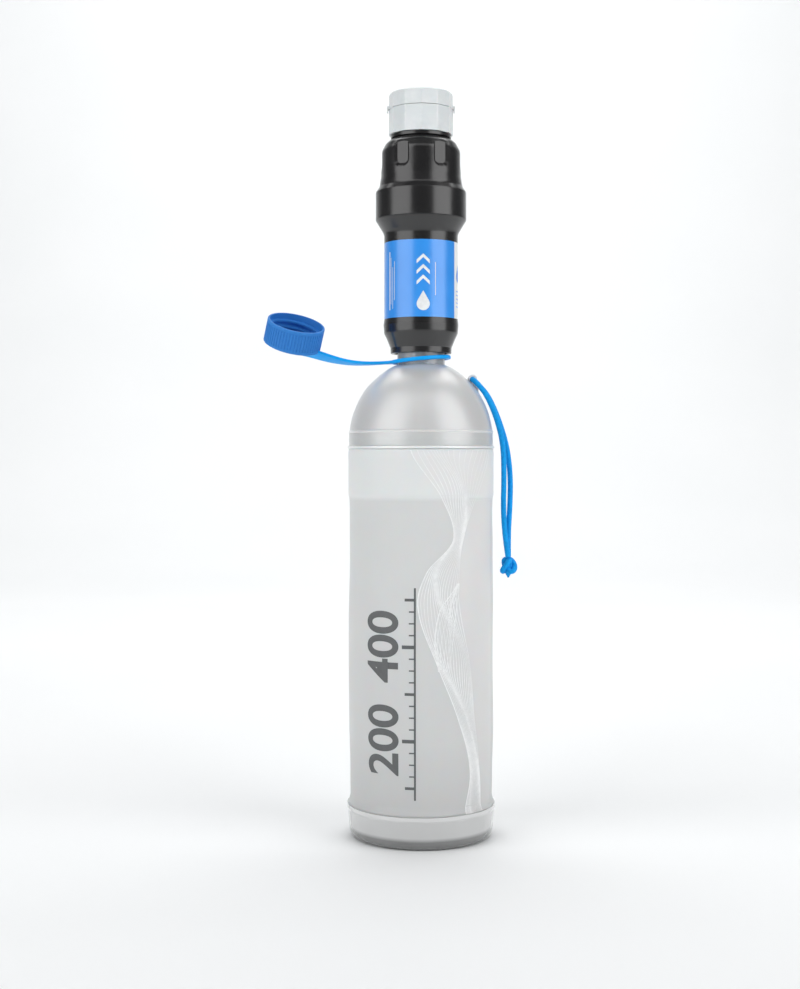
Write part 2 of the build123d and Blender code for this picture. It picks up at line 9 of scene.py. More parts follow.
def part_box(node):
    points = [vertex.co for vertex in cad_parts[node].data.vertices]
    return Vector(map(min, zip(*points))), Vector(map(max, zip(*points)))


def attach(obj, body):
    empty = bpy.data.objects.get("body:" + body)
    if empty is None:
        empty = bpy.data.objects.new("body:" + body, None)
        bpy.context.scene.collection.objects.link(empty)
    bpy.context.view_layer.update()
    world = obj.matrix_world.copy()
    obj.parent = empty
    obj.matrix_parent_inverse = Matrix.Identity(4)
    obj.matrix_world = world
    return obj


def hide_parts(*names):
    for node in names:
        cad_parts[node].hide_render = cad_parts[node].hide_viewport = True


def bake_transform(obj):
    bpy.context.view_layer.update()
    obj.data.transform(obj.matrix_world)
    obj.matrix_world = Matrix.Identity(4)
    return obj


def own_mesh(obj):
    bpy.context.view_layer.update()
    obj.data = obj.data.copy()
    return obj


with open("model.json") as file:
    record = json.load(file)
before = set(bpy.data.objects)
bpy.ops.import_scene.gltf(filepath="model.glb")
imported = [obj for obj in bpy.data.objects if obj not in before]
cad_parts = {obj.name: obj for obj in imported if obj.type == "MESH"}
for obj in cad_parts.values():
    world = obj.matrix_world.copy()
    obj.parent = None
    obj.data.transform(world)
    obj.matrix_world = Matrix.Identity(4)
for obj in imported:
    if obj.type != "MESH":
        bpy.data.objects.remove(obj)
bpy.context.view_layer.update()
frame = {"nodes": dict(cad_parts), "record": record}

MM = 0.001

# Heights and radii that the looks are hung on, some taken from the imported parts and some given.
cup_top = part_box("base_cup")[1].z
ring_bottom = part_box("sleeve_ring")[0].z
skirt_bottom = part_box("bottle_shoulder")[0].z
bead_bottom = skirt_bottom + 8.2 * MM
lip_top = skirt_bottom + 1.2 * MM
neck_foot = 245.4 * MM
EYELET_INNER, EYELET_HALF, EYELET_LOW = 24.6 * MM, 2.8 * MM, 235.2 * MM
label_low, label_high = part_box("label_wrap")
tether_low, tether_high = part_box("tether_ring")
joints = {joint["name"]: joint for joint in frame["record"]["behaviour"]["joints"]}


# ---------------------------------------------------------------- camera, light, floor

OBJECT_DISTANCE = 0.787
CAMERA_HEIGHT = 0.1986
CAMERA_SIDE = -0.011
LENS = 54.6


def make_camera():
    data = bpy.data.cameras.new("camera")
    data.lens = LENS
    data.shift_y = -0.04
    camera = bpy.data.objects.new("camera", data)
    camera.location = (CAMERA_SIDE, -OBJECT_DISTANCE, CAMERA_HEIGHT)
    camera.rotation_euler = (pi / 2, 0, 0)
    bpy.context.collection.objects.link(camera)
    bpy.context.scene.camera = camera


def area_light(name, azimuth, height, distance, size, power, aim_at=(0, 0, 0.2)):
    """Softbox. Azimuth 0 is the camera's side, and positive is to the right."""
    data = bpy.data.lights.new(name, "AREA")
    data.shape = "RECTANGLE"
    data.size, data.size_y = size
    data.energy = power
    light = bpy.data.objects.new(name, data)
    side = radians(azimuth)
    light.location = (distance * sin(side), -distance * cos(side), height)
    aim = Vector(aim_at) - light.location
    light.rotation_euler = aim.to_track_quat("-Z", "Y").to_euler()
    bpy.context.collection.objects.link(light)


def make_lights():
    """Two tall softboxes in a room that reflects darker than the pale backdrop it shows."""
    area_light("softbox_left", -53, 1.2, 1.3, (1.32, 2.3), 19, aim_at=(0, 0, 1.2))
    area_light("softbox_right", 56, 1.2, 1.3, (1.2, 2.3), 19, aim_at=(0, 0, 1.2))
    area_light("top", 175, 1.3, 0.45, (1.2, 0.8), 5)
    area_light("front_fill", 0, 1.5, 0.95, (1.0, 0.6), 1.5)
    area_light("backdrop_wash", 180, 2.0, 1.0, (3.0, 1.0), 40, aim_at=(0, 2.6, 0.6))
    world = bpy.data.worlds.new("world")
    world.use_nodes = True
    nodes, links = world.node_tree.nodes, world.node_tree.links
    direction = nodes.new("ShaderNodeTexCoord")
    split = nodes.new("ShaderNodeSeparateXYZ")
    links.new(direction.outputs["Generated"], split.inputs["Vector"])
    background = nodes["Background"]
    background.inputs["Color"].default_value = (0.975, 0.985, 1.0, 1)
    room = remap(nodes, links, split.outputs["Y"], 0.12, 1.0, 0.5, 0.95)
    seen = nodes.new("ShaderNodeLightPath")
    brighter = nodes.new("ShaderNodeMath")
    brighter.operation = "MAXIMUM"
    links.new(room, brighter.inputs[0])
    links.new(seen.outputs["Is Camera Ray"], brighter.inputs[1])
    links.new(brighter.outputs[0], background.inputs["Strength"])
    bpy.context.scene.world = world
    bpy.context.scene.view_settings.view_transform = "Standard"


def make_floor():
    """Seamless pale sweep: a floor that curves up into a wall behind the object."""
    half, bend, back = 2.0, 1.4, 2.8
    profile = [(-3.0, 0.0), (back - bend, 0.0)]
    for step in range(1, 17):
        turn = pi / 2 * step / 16
        profile.append((back - bend + bend * sin(turn), bend - bend * cos(turn)))
    profile.append((back, 3.4))
    vertices = [(x, y, z) for y, z in profile for x in (-half, half)]
    faces = [(2 * i, 2 * i + 1, 2 * i + 3, 2 * i + 2) for i in range(len(profile) - 1)]
    floor = mesh_object("floor", vertices, faces)
    paint, nodes, links, shader = new_material("floor_paint", (0.9, 0.91, 0.915), 0.6)
    vary_colour(nodes, links, shader, (0.885, 0.9, 0.905), (0.915, 0.925, 0.93), 3.0)
    shader.inputs["Specular IOR Level"].default_value = 0.2
    floor.data.materials.append(paint)


# ---------------------------------------------------------------- mesh helpers

def mesh_object(name, vertices, faces, smooth=True):
    mesh = bpy.data.meshes.new(name)
    mesh.from_pydata([tuple(vertex) for vertex in vertices], [], faces)
    mesh.validate()
    made = bpy.data.objects.new(name, mesh)
    bpy.context.collection.objects.link(made)
    for face in mesh.polygons:
        face.use_smooth = smooth
    return made


def grid_faces(rows, columns, close_rows=False, close_columns=True, start=0):
    """Quads of a rows by columns grid of vertices, wrapped round in either direction."""
    faces = []
    for row in range(rows if close_rows else rows - 1):
        below = (row + 1) % rows
        for column in range(columns if close_columns else columns - 1):
            beside = (column + 1) % columns
            faces.append(
                (
                    start + row * columns + column,
                    start + row * columns + beside,
                    start + below * columns + beside,
                    start + below * columns + column,
                )
            )
    return faces


def join(name, objects):
    """One object from several, with their meshes in the row frame."""
    merged = bmesh.new()
    materials = []
    for part in objects:
        first = len(merged.faces)
        merged.from_mesh(part.data)
        merged.faces.ensure_lookup_table()
        slots = []
        for material in part.data.materials:
            if material not in materials:
                materials.append(material)
            slots.append(materials.index(material))
        for face in merged.faces[first:]:
            face.material_index = slots[face.material_index] if slots else 0
    made = mesh_object(name, [], [])
    merged.to_mesh(made.data)
    merged.free()
    for material in materials:
        made.data.materials.append(material)
    for part in objects:
        bpy.data.objects.remove(part)
    return made


def smoothstep(value):
    value = min(max(value, 0.0), 1.0)
    return value * value * (3 - 2 * value)


def ease(stops, at):
    """Smooth value at a height, between listed (height, value, ...) stops."""
    if at <= stops[0][0]:
        return stops[0][1:]
    for low, high in zip(stops, stops[1:]):
        if at <= high[0]:
            share = smoothstep((at - low[0]) / (high[0] - low[0]))
            return tuple(a + (b - a) * share for a, b in zip(low[1:], high[1:]))
    return stops[-1][1:]


def catmull(a, b, c, d, t):
    """Smooth value between b and c, at a share t of the way."""
    return tuple(
        0.5 * (2 * q + (r - p) * t + (2 * p - 5 * q + 4 * r - s) * t * t + (3 * q - p - 3 * r + s) * t**3)
        for p, q, r, s in zip(a, b, c, d)
    )


def flow(stops, at):
    """Smooth values through listed (position, value, ...) stops, without flattening at each."""
    row = max(index for index, stop in enumerate(stops[:-1]) if stop[0] <= at or index == 0)
    low, high = stops[row], stops[row + 1]
    before, after = stops[max(row - 1, 0)], stops[min(row + 2, len(stops) - 1)]
    share = min(max((at - low[0]) / (high[0] - low[0]), 0), 1)
    return catmull(before[1:], low[1:], high[1:], after[1:], share)


# ---------------------------------------------------------------- materials

def grey(value):
    return (value, value, value)


def new_material(name, colour, roughness, **settings):
    """Principled material. Settings are the shader's own inputs, with underscores for spaces."""
    material = bpy.data.materials.new(name)
    material.use_nodes = True
    nodes, links = material.node_tree.nodes, material.node_tree.links
    shader = nodes["Principled BSDF"]
    shader.inputs["Base Color"].default_value = (*colour, 1)
    shader.inputs["Roughness"].default_value = roughness
    for key, value in settings.items():
        shader.inputs[key.replace("_", " ")].default_value = value
    return material, nodes, links, shader


def place(nodes, links, stretch=(1, 1, 1), source="Object"):
    """Object coordinates in metres, stretched along the axes."""
    coordinates = nodes.new("ShaderNodeTexCoord")
    mapping = nodes.new("ShaderNodeMapping")
    mapping.inputs["Scale"].default_value = stretch
    links.new(coordinates.outputs[source], mapping.inputs["Vector"])
    return mapping.outputs["Vector"]


def noise_value(nodes, links, scale, detail=3, stretch=(1, 1, 1)):
    texture = nodes.new("ShaderNodeTexNoise")
    texture.inputs["Scale"].default_value = scale
    texture.inputs["Detail"].default_value = detail
    links.new(place(nodes, links, stretch), texture.inputs["Vector"])
    return texture.outputs["Fac"]


def remap(nodes, links, value, low, high, start=0.3, end=0.7):
    ranged = nodes.new("ShaderNodeMapRange")
    ranged.inputs["From Min"].default_value = start
    ranged.inputs["From Max"].default_value = end
    ranged.inputs["To Min"].default_value = low
    ranged.inputs["To Max"].default_value = high
    links.new(value, ranged.inputs["Value"])
    return ranged.outputs["Result"]


def mix_colour(nodes, links, factor, first, second):
    """Colour mix. First and second are colours or sockets."""
    mix = nodes.new("ShaderNodeMix")
    mix.data_type = "RGBA"
    for socket, value in ((mix.inputs["A"], first), (mix.inputs["B"], second)):
        if isinstance(value, tuple):
            socket.default_value = (*value, 1)
        else:
            links.new(value, socket)
    links.new(factor, mix.inputs["Factor"])
    return mix.outputs["Result"]


def multiply(nodes, links, first, second):
    product = nodes.new("ShaderNodeMath")
    product.operation = "MULTIPLY"
    links.new(first, product.inputs[0])
    links.new(second, product.inputs[1])
    return product.outputs[0]


def vary_colour(nodes, links, shader, first, second, scale, stretch=(1, 1, 1)):
    spread = remap(nodes, links, noise_value(nodes, links, scale, 1.5, stretch), 0, 1, 0.2, 0.8)
    colour = mix_colour(nodes, links, spread, first, second)
    links.new(colour, shader.inputs["Base Color"])
    return colour


def vary_roughness(nodes, links, shader, low, high, scale, stretch=(1, 1, 1)):
    links.new(
        remap(nodes, links, noise_value(nodes, links, scale, 1, stretch), low, high, 0.1, 0.9),
        shader.inputs["Roughness"],
    )


def add_bump(nodes, links, shader, height, depth, strength=1.0):
    bump = nodes.new("ShaderNodeBump")
    bump.inputs["Distance"].default_value = depth
    bump.inputs["Strength"].default_value = strength
    links.new(height, bump.inputs["Height"])
    links.new(bump.outputs["Normal"], shader.inputs["Normal"])
    return bump


def edge_wear(nodes, links, shader, colour, worn, amount=0.5):
    """Lightens convex edges a little, broken up by noise."""
    geometry = nodes.new("ShaderNodeNewGeometry")
    edge = remap(nodes, links, geometry.outputs["Pointiness"], 0, amount, 0.52, 0.62)
    broken = multiply(nodes, links, edge, remap(nodes, links, noise_value(nodes, links, 300), 0, 1))
    links.new(mix_colour(nodes, links, broken, colour, worn), shader.inputs["Base Color"])


def moulded(name, colour, deep, worn, rough, grain=2200, grain_depth=0.00002, **settings):
    """Moulded plastic: cloudy tone, patchy gloss, spark-eroded grain and lighter edges."""
    material, nodes, links, shader = new_material(name, colour, rough, **settings)
    tone = vary_colour(nodes, links, shader, deep, colour, 55)
    edge_wear(nodes, links, shader, tone, worn)
    vary_roughness(nodes, links, shader, rough - 0.04, rough + 0.06, 90)
    add_bump(nodes, links, shader, noise_value(nodes, links, grain, 2), grain_depth)
    return material


def black_plastic():
    return moulded(
        "black_plastic", (0.0105, 0.0105, 0.0110), (0.0080, 0.0080, 0.0085), (0.04, 0.04, 0.04), 0.22,
        Specular_IOR_Level=0.8,
    )


def white_plastic():
    return moulded(
        "white_plastic", (0.68, 0.715, 0.725), (0.64, 0.68, 0.69), (0.82, 0.84, 0.845), 0.22,
        Subsurface_Weight=0.1, Subsurface_Scale=0.0015,
    )


def blue_plastic():
    return moulded(
        "blue_plastic", (0.002, 0.40, 0.98), (0.001, 0.36, 0.93), (0.03, 0.48, 1.0), 0.45,
        Specular_IOR_Level=0.2, Subsurface_Weight=0.08, Subsurface_Scale=0.001,
    )


def height_mask(nodes, links, low, high):
    """0 below a height and 1 above it, between low and high, in metres."""
    coordinates = nodes.new("ShaderNodeTexCoord")
    split = nodes.new("ShaderNodeSeparateXYZ")
    links.new(coordinates.outputs["Object"], split.inputs["Vector"])
    return remap(nodes, links, split.outputs["Z"], 0, 1, low, high)


def frosted_plastic():
    """Rigid, satin frosted moulding. It is greyer below the bead; a thin line along the bead and its lip are
    painted lighter, as painted highlights.
    """
    material, nodes, links, shader = new_material(
        "frosted_plastic", (0.6, 0.6, 0.6), 0.36, Specular_IOR_Level=1.0,
        Subsurface_Weight=0.12, Subsurface_Scale=0.003, Coat_Weight=1.0, Coat_Roughness=0.33, Coat_IOR=1.7,
    )
    clouds = remap(nodes, links, noise_value(nodes, links, 30, 1, (1, 1, 0.35)), 0, 1, 0.1, 0.9)
    frost = mix_colour(nodes, links, clouds, (0.555, 0.56, 0.565), (0.59, 0.595, 0.595))
    band = height_mask(nodes, links, bead_bottom - 0.2 * MM, bead_bottom + 0.2 * MM)
    greyer = mix_colour(nodes, links, clouds, (0.535, 0.54, 0.54), (0.57, 0.575, 0.575))
    toned = mix_colour(nodes, links, band, greyer, frost)
    # Painted highlight: the lip is painted lighter.
    lip = height_mask(nodes, links, lip_top + 0.1 * MM, lip_top - 0.2 * MM)
    # Painted highlight: a thin line from the bead's bottom up about 1 mm is painted lighter.
    bead = height_mask(nodes, links, bead_bottom + 1.3 * MM, bead_bottom + 1.0 * MM)
    bead_highlighted = mix_colour(nodes, links, multiply(nodes, links, band, bead), toned, (0.70, 0.705, 0.705))
    lip_highlighted = mix_colour(nodes, links, lip, bead_highlighted, (0.86, 0.865, 0.865))
    edge_wear(nodes, links, shader, lip_highlighted, (0.80, 0.81, 0.81), 0.7)
    vary_roughness(nodes, links, shader, 0.33, 0.39, 60)
    add_bump(nodes, links, shader, noise_value(nodes, links, 1600, 2), 0.00002)
    return material


def clear_plastic():
    """Clear hard plastic with faint flow marks."""
    material, nodes, links, shader = new_material(
        "clear_plastic", (0.95, 0.955, 0.955), 0.06, Transmission_Weight=0.7, IOR=1.5
    )
    vary_colour(nodes, links, shader, (0.90, 0.91, 0.91), (0.96, 0.965, 0.965), 60, (1, 1, 0.2))
    vary_roughness(nodes, links, shader, 0.03, 0.1, 40, (1, 1, 3))
    add_bump(nodes, links, shader, noise_value(nodes, links, 90, 2, (1, 1, 0.15)), 0.00008)
    return material


def eyelet_painted_highlight():
    """The cord tab, painted paler than the dome: a painted highlight that also covers the shade round its
    hole.
    """
    return moulded("eyelet_painted_highlight", (0.86, 0.87, 0.875), (0.80, 0.81, 0.815), (0.92, 0.925, 0.93), 0.45)


def cup_plastic():
    """Thick translucent cup, clear in its foot and frosted above where the film sits inside it. Its foot is
    painted dark, as painted shade and reflection standing in for the dark seen in its clear bottom, and its
    rim is painted lighter as a painted highlight.
    """
    material, nodes, links, shader = new_material(
        "cup_plastic", (0.6, 0.6, 0.6), 0.2, Transmission_Weight=0.3, IOR=1.49,
        Specular_IOR_Level=0.9, Coat_Weight=1.0, Coat_Roughness=0.2,
    )
    # Painted shade and reflection: the foot, below about 5 mm, is painted dark.
    foot = height_mask(nodes, links, 4.6 * MM, 6.6 * MM)
    # Painted highlight: the rim near the top is painted lighter.
    rim = height_mask(nodes, links, 14.2 * MM, 15.6 * MM)
    clouds = remap(nodes, links, noise_value(nodes, links, 42, 3, (1, 1, 0.5)), 0, 0.25, 0.1, 0.9)
    body = mix_colour(nodes, links, foot, (0.18, 0.183, 0.182), (0.72, 0.725, 0.725))
    lip_highlighted = mix_colour(nodes, links, rim, body, (0.90, 0.905, 0.905))
    links.new(mix_colour(nodes, links, clouds, lip_highlighted, (0.66, 0.665, 0.67)), shader.inputs["Base Color"])
    vary_roughness(nodes, links, shader, 0.16, 0.26, 40, (1, 1, 3))
    add_bump(nodes, links, shader, noise_value(nodes, links, 90, 2, (1, 1, 0.15)), 0.00005)
    return material


def sleeve_film(name="sleeve_film", lighter=1.0):
    """Soft frosted film. The rest height is stored in the UV map, so the pale band folds with the film."""
    material, nodes, links, shader = new_material(
        name, (0.6, 0.6, 0.6), 0.45, Specular_IOR_Level=0.18,
        Subsurface_Weight=0.2, Subsurface_Scale=0.003,
    )
    uv = nodes.new("ShaderNodeUVMap")
    uv.uv_map = "rest_place"
    split = nodes.new("ShaderNodeSeparateXYZ")
    links.new(uv.outputs["UV"], split.inputs["Vector"])
    height = split.outputs["Y"]
    band_low, band_high = rest_share(ring_bottom - 1.4 * MM), rest_share(ring_bottom + 0.8 * MM)
    band = remap(nodes, links, height, 0, 1, band_low, band_high)
    foot = remap(nodes, links, height, 0, 1, 0.0, 0.2)
    fade = remap(nodes, links, height, 0, 1, 0.2, 0.65)
    low = mix_colour(nodes, links, foot, grey(0.52 * lighter), grey(0.61 * lighter))
    film = mix_colour(nodes, links, fade, low, grey(0.655 * lighter))
    toned = mix_colour(nodes, links, band, film, grey(0.72 + 0.04 * lighter))
    cloud = remap(nodes, links, noise_value(nodes, links, 26, 2, (1, 1, 0.4)), 0, 0.15, 0.1, 0.9)
    links.new(mix_colour(nodes, links, cloud, toned, grey(0.68)), shader.inputs["Base Color"])
    vary_roughness(nodes, links, shader, 0.34, 0.46, 70)
    add_bump(nodes, links, shader, noise_value(nodes, links, 1300, 3), 0.00003)
    return material


def ink(name, colour, roughness=0.4):
    """Printed ink with slight unevenness."""
    material, nodes, links, shader = new_material(name, colour, roughness)
    darker = tuple(channel * 0.86 for channel in colour)
    vary_colour(nodes, links, shader, darker, colour, 500)
    vary_roughness(nodes, links, shader, roughness - 0.05, roughness + 0.08, 300)
    return material


def label_film():
    """Blue label film with a white panel on its right side."""
    material, nodes, links, shader = new_material(
        "label_film", (0.02, 0.28, 0.86), 0.3, Coat_Weight=0.9, Coat_Roughness=0.25
    )
    coordinates = nodes.new("ShaderNodeTexCoord")
    split = nodes.new("ShaderNodeSeparateXYZ")
    links.new(coordinates.outputs["Object"], split.inputs["Vector"])
    edge = label_high.x * sin(radians(63))
    panel = remap(nodes, links, split.outputs["X"], 0, 1, edge - 0.1 * MM, edge + 0.1 * MM)
    cloud = remap(nodes, links, noise_value(nodes, links, 45, 3), 0, 1)
    blue = mix_colour(nodes, links, cloud, (0.024, 0.275, 0.82), (0.034, 0.31, 0.88))
    links.new(mix_colour(nodes, links, panel, blue, (0.84, 0.86, 0.87)), shader.inputs["Base Color"])
    vary_roughness(nodes, links, shader, 0.26, 0.36, 200)
    add_bump(nodes, links, shader, noise_value(nodes, links, 1500, 2), 0.00001)
    return material


def cord_sheath():
    """Braided polyester sheath with a patchy blue tone."""
    material, nodes, links, shader = new_material(
        "cord_sheath", (0.006, 0.36, 0.9), 0.6, Specular_IOR_Level=0.15,
        Sheen_Weight=0.05, Sheen_Roughness=0.35,
    )
    vary_colour(nodes, links, shader, (0.003, 0.28, 0.76), (0.009, 0.41, 0.95), 700)
    vary_roughness(nodes, links, shader, 0.5, 0.65, 900)
    add_bump(nodes, links, shader, noise_value(nodes, links, 5200, 2), 0.00004)
    return material


def rubber():
    return moulded("seal_rubber", (0.05, 0.05, 0.052), (0.035, 0.035, 0.037), (0.09, 0.09, 0.09), 0.6, 3000)


def liner_foam():
    return moulded("liner_foam", (0.008, 0.10, 0.38), (0.006, 0.08, 0.32), (0.02, 0.15, 0.45), 0.5, 2600)


def cage_plastic():
    return moulded("cage_plastic", (0.62, 0.64, 0.65), (0.56, 0.58, 0.59), (0.72, 0.73, 0.73), 0.42)


def potting_resin():
    material, nodes, links, shader = new_material(
        "potting_resin", (0.62, 0.55, 0.38), 0.25, Subsurface_Weight=0.3, Subsurface_Scale=0.002
    )
    vary_colour(nodes, links, shader, (0.55, 0.48, 0.32), (0.68, 0.61, 0.44), 150)
    pores = nodes.new("ShaderNodeTexVoronoi")
    pores.inputs["Scale"].default_value = 1400
    links.new(place(nodes, links, (1, 1, 0)), pores.inputs["Vector"])
    add_bump(nodes, links, shader, pores.outputs["Distance"], 0.0001)
    return material


def fibre_white():
    material, nodes, links, shader = new_material("fibre_white", (0.85, 0.85, 0.82), 0.6)
    vary_colour(nodes, links, shader, (0.78, 0.78, 0.74), (0.88, 0.88, 0.86), 220, (1, 1, 0.05))
    add_bump(nodes, links, shader, noise_value(nodes, links, 3500, 2, (1, 1, 0.1)), 0.00004)
    return material


# ---------------------------------------------------------------- soft sleeve

SLEEVE_PROFILE = [
    (17.3, 38.35), (18.6, 37.6), (21.5, 37.0), (32.0, 37.15), (60.0, 37.7), (110.0, 37.8),
    (150.0, 37.35), (170.0, 37.2), (175.0, 37.35), (178.5, 38.0), (200.2, 38.1), (201.8, 37.8),
]
SLEEVE_WALL = 0.8 * MM
SLEEVE_R = 37.8 * MM


def rest_share(height):
    """Height as a share of the sleeve, 0 at the cup and 1 at the skirt."""
    return (height - cup_top) / (skirt_bottom - cup_top)


def sleeve_radius(angle, height):
    """Outer radius of the film, slack between its two rigid ends. Angle 0 is the front."""
    radius = ease(SLEEVE_PROFILE, height / MM)[0]
    slack = sin(pi * min(max(rest_share(height), 0), 1)) ** 0.7
    held = 0.25 if height > ring_bottom else 1.0
    across = noise.noise(Vector((1.3 * cos(angle), 1.3 * sin(angle), height / MM / 70)))
    crease = noise.noise(Vector((3.1 * cos(angle), 3.1 * sin(angle), height / MM / 26 + 7)))
    return (radius + slack * held * (0.55 * across + 0.22 * crease)) * MM


def on_sleeve(along, height, lift=0.0):
    """Point on the film. Along is the distance round it from the front, positive to the right."""
    angle = along / SLEEVE_R
    radius = sleeve_radius(angle, height) + lift
    return Vector((radius * sin(angle), -radius * cos(angle), height))


def make_sleeve():
    rows, columns = 170, 224
    bottom, top = SLEEVE_PROFILE[0][0] * MM, SLEEVE_PROFILE[-1][0] * MM
    vertices = []
    heights = [bottom + (top - bottom) * row / (rows - 1) for row in range(rows)]
    for height in heights:
        for column in range(columns):
            angle = 2 * pi * column / columns
            radius = sleeve_radius(angle, height)
            vertices.append((radius * sin(angle), -radius * cos(angle), height))
    for height in reversed(heights):
        for column in range(columns):
            angle = 2 * pi * column / columns
            radius = sleeve_radius(angle, height) - SLEEVE_WALL
            vertices.append((radius * sin(angle), -radius * cos(angle), height))
    sleeve = mesh_object("soft_sleeve", vertices, grid_faces(2 * rows, columns, close_rows=True))
    sleeve.data.materials.append(sleeve_film())
    return sleeve


def store_rest_place(film):
    """Keeps each point's rest place on the film as a UV map."""
    uv = film.data.uv_layers.new(name="rest_place")
    for loop in film.data.loops:
        point = film.data.vertices[loop.vertex_index].co
        uv.data[loop.index].uv = (atan2(point.x, -point.y) / (2 * pi) + 0.5, rest_share(point.z))


# ---------------------------------------------------------------- flat print laid on round surfaces

PRINT_LIFT = 0.05 * MM


def refine(flat, longest):
    """Cuts a flat mesh's edges down to a length, so that it can be wrapped round a surface."""
    bmesh.ops.triangulate(flat, faces=flat.faces[:])
    for _ in range(6):
        long_edges = [edge for edge in flat.edges if edge.calc_length() > longest]
        if not long_edges:
            break
        bmesh.ops.subdivide_edges(flat, edges=long_edges, cuts=1)
        bmesh.ops.triangulate(flat, faces=flat.faces[:])


def wrapped(name, flat, surface, material, longest=1.6 * MM):
    """Lays a flat bmesh, drawn in (along, height), on a surface function."""
    refine(flat, longest)
    for vertex in flat.verts:
        vertex.co = surface(vertex.co.x, vertex.co.y, PRINT_LIFT)
    bmesh.ops.recalc_face_normals(flat, faces=flat.faces[:])
    made = mesh_object(name, [], [])
    flat.to_mesh(made.data)
    flat.free()
    made.data.materials.append(material)
    for face in made.data.polygons:
        face.use_smooth = True
    return made


def add_polygon(flat, points):
    flat.faces.new([flat.verts.new((x, y, 0)) for x, y in points])


def add_bar(flat, left, right, bottom, top):
    add_polygon(flat, [(left, bottom), (right, bottom), (right, top), (left, top)])


def add_number(flat, text, centre, size=25 * MM, width=0.96, bold=0.5 * MM):
    """Adds a bold number that reads upward, centred on a point."""
    curve = bpy.data.curves.new("number", "FONT")
    curve.body = text
    curve.size = size
    curve.offset = bold
    curve.align_x = "CENTER"
    curve.align_y = "CENTER"
    drawn = bpy.data.objects.new("number", curve)
    bpy.context.collection.objects.link(drawn)
    bpy.context.view_layer.update()
    mesh = bpy.data.meshes.new_from_object(drawn.evaluated_get(bpy.context.evaluated_depsgraph_get()))
    mesh.transform(
        Matrix.Translation((*centre, 0)) @ Matrix.Rotation(pi / 2, 4, "Z") @ Matrix.Diagonal((width, 1, 1, 1))
    )
    flat.from_mesh(mesh)
    bpy.data.objects.remove(drawn)
    bpy.data.meshes.remove(mesh)


def add_droplet(flat, centre, radius):
    """Drop shape: a round belly and a point at the top."""
    x, y = centre
    shoulder = radians(35)
    points = [(x, y + 2.0 * radius)]
    for step in range(25):
        turn = shoulder - (pi + 2 * shoulder) * step / 24
        points.append((x + radius * cos(turn), y + radius * sin(turn)))
    add_polygon(flat, points)


def add_chevron(flat, centre, width, height, stroke):
    x, y = centre
    half = width / 2
    add_polygon(flat, [(x - half, y), (x, y + height), (x, y + height + stroke), (x - half, y + stroke)])
    add_polygon(flat, [(x, y + height), (x + half, y), (x + half, y + stroke), (x, y + height + stroke)])


def make_scale_print():
    """Volume scale up the front left: a rule, a bar for each 100 ml, ticks between, two large numbers."""
    flat = bmesh.new()
    rule_x = -3.6 * MM
    first, step = 31.6 * MM, 23.6 * MM
    marks = 5
    add_bar(flat, rule_x - 0.5 * MM, rule_x + 0.5 * MM, first - 6 * MM, first + step * (marks - 1) + 6 * MM)
    for index in range(marks):
        height = first + step * index
        numbered = index % 2 == 1
        reach, half = (6.6 * MM, 0.9 * MM) if numbered else (5.2 * MM, 0.7 * MM)
        add_bar(flat, rule_x - reach, rule_x, height - half, height + half)
        if numbered:
            add_number(flat, str(100 * (index + 1)), (-20.2 * MM, height))
        for part in range(1, 4):
            tick = height + step * part / 4
            if index < marks - 1:
                add_bar(flat, rule_x - 3.0 * MM, rule_x, tick - 0.35 * MM, tick + 0.35 * MM)
    return wrapped("scale_print", flat, on_sleeve, ink("dark_ink", (0.115, 0.120, 0.123), 0.45))


WAVE_EDGES = [
    (17.5, 36.0, 54.0), (38.0, 41.0, 52.0), (64.0, 30.0, 45.0), (92.0, 12.4, 40.0), (122.0, -3.0, 30.0),
    (140.0, 4.0, 30.0), (156.0, 25.0, 34.0), (176.0, 16.0, 47.0), (201.0, -8.5, 66.0),
]
WASH_RIGHT = 72
LEAF_EDGES = [(90.0, 12.6, 22.0), (105.0, 9.8, 24.0), (121.0, 14.0, 27.0), (134.0, 28.0, 30.0)]


def flowing_lines(name, edges, count, curl, rows=150):
    """Fine white lines between two edges, in degrees round from the front at heights in millimetres."""
    low, high = edges[0][0], edges[-1][0]
    vertices, faces = [], []
    for line in range(count):
        share = line / (count - 1)
        start = len(vertices)
        for row in range(rows):
            height = low + (high - low) * row / (rows - 1)
            left, right = flow(edges, height)
            spread = share + curl * sin(height / 9.5 + 5 * share) * sin(pi * share) / count
            along = radians(left + (right - left) * spread) * SLEEVE_R
            width = (0.3 if line == 0 else 0.15 + 0.06 * sin(height / 7 + 4 * share)) * MM
            for side in (-width, width):
                vertices.append(on_sleeve(along + side, height * MM, 1.6 * PRINT_LIFT))
        faces += grid_faces(rows, 2, close_columns=False, start=start)
    return mesh_object(name, vertices, faces)


def make_wave_print():
    """Band of fine white lines that pinches and widens down the front right, over a faint white wash."""
    waves = join(
        "wave_print",
        [
            flowing_lines("band_lines", WAVE_EDGES, 19, 2.2),
            flowing_lines("leaf_lines", LEAF_EDGES, 7, 1.0, 60),
        ],
    )
    for face in waves.data.polygons:
        face.use_smooth = True
    waves.data.materials.append(ink("white_ink", (0.93, 0.935, 0.935), 0.4))
    rows, columns = 170, 26
    low, high = WAVE_EDGES[0][0], WAVE_EDGES[-1][0]
    vertices = []
    for row in range(rows):
        height = low + (high - low) * row / (rows - 1)
        left = flow(WAVE_EDGES, height)[0]
        for column in range(columns):
            share = column / (columns - 1)
            along = radians(left + (WASH_RIGHT - left) * share) * SLEEVE_R
            vertices.append(on_sleeve(along, height * MM, PRINT_LIFT * (1 - share) + 0.01 * MM))
    wash = mesh_object("wave_wash", vertices, grid_faces(rows, columns, close_columns=False))
    wash.data.materials.append(sleeve_film("wave_wash", 1.09))
    return waves, wash


def on_label(along, height, lift=0.0):
    radius = label_high.x + lift
    angle = along / label_high.x
    return Vector((radius * sin(angle), -radius * cos(angle), height))


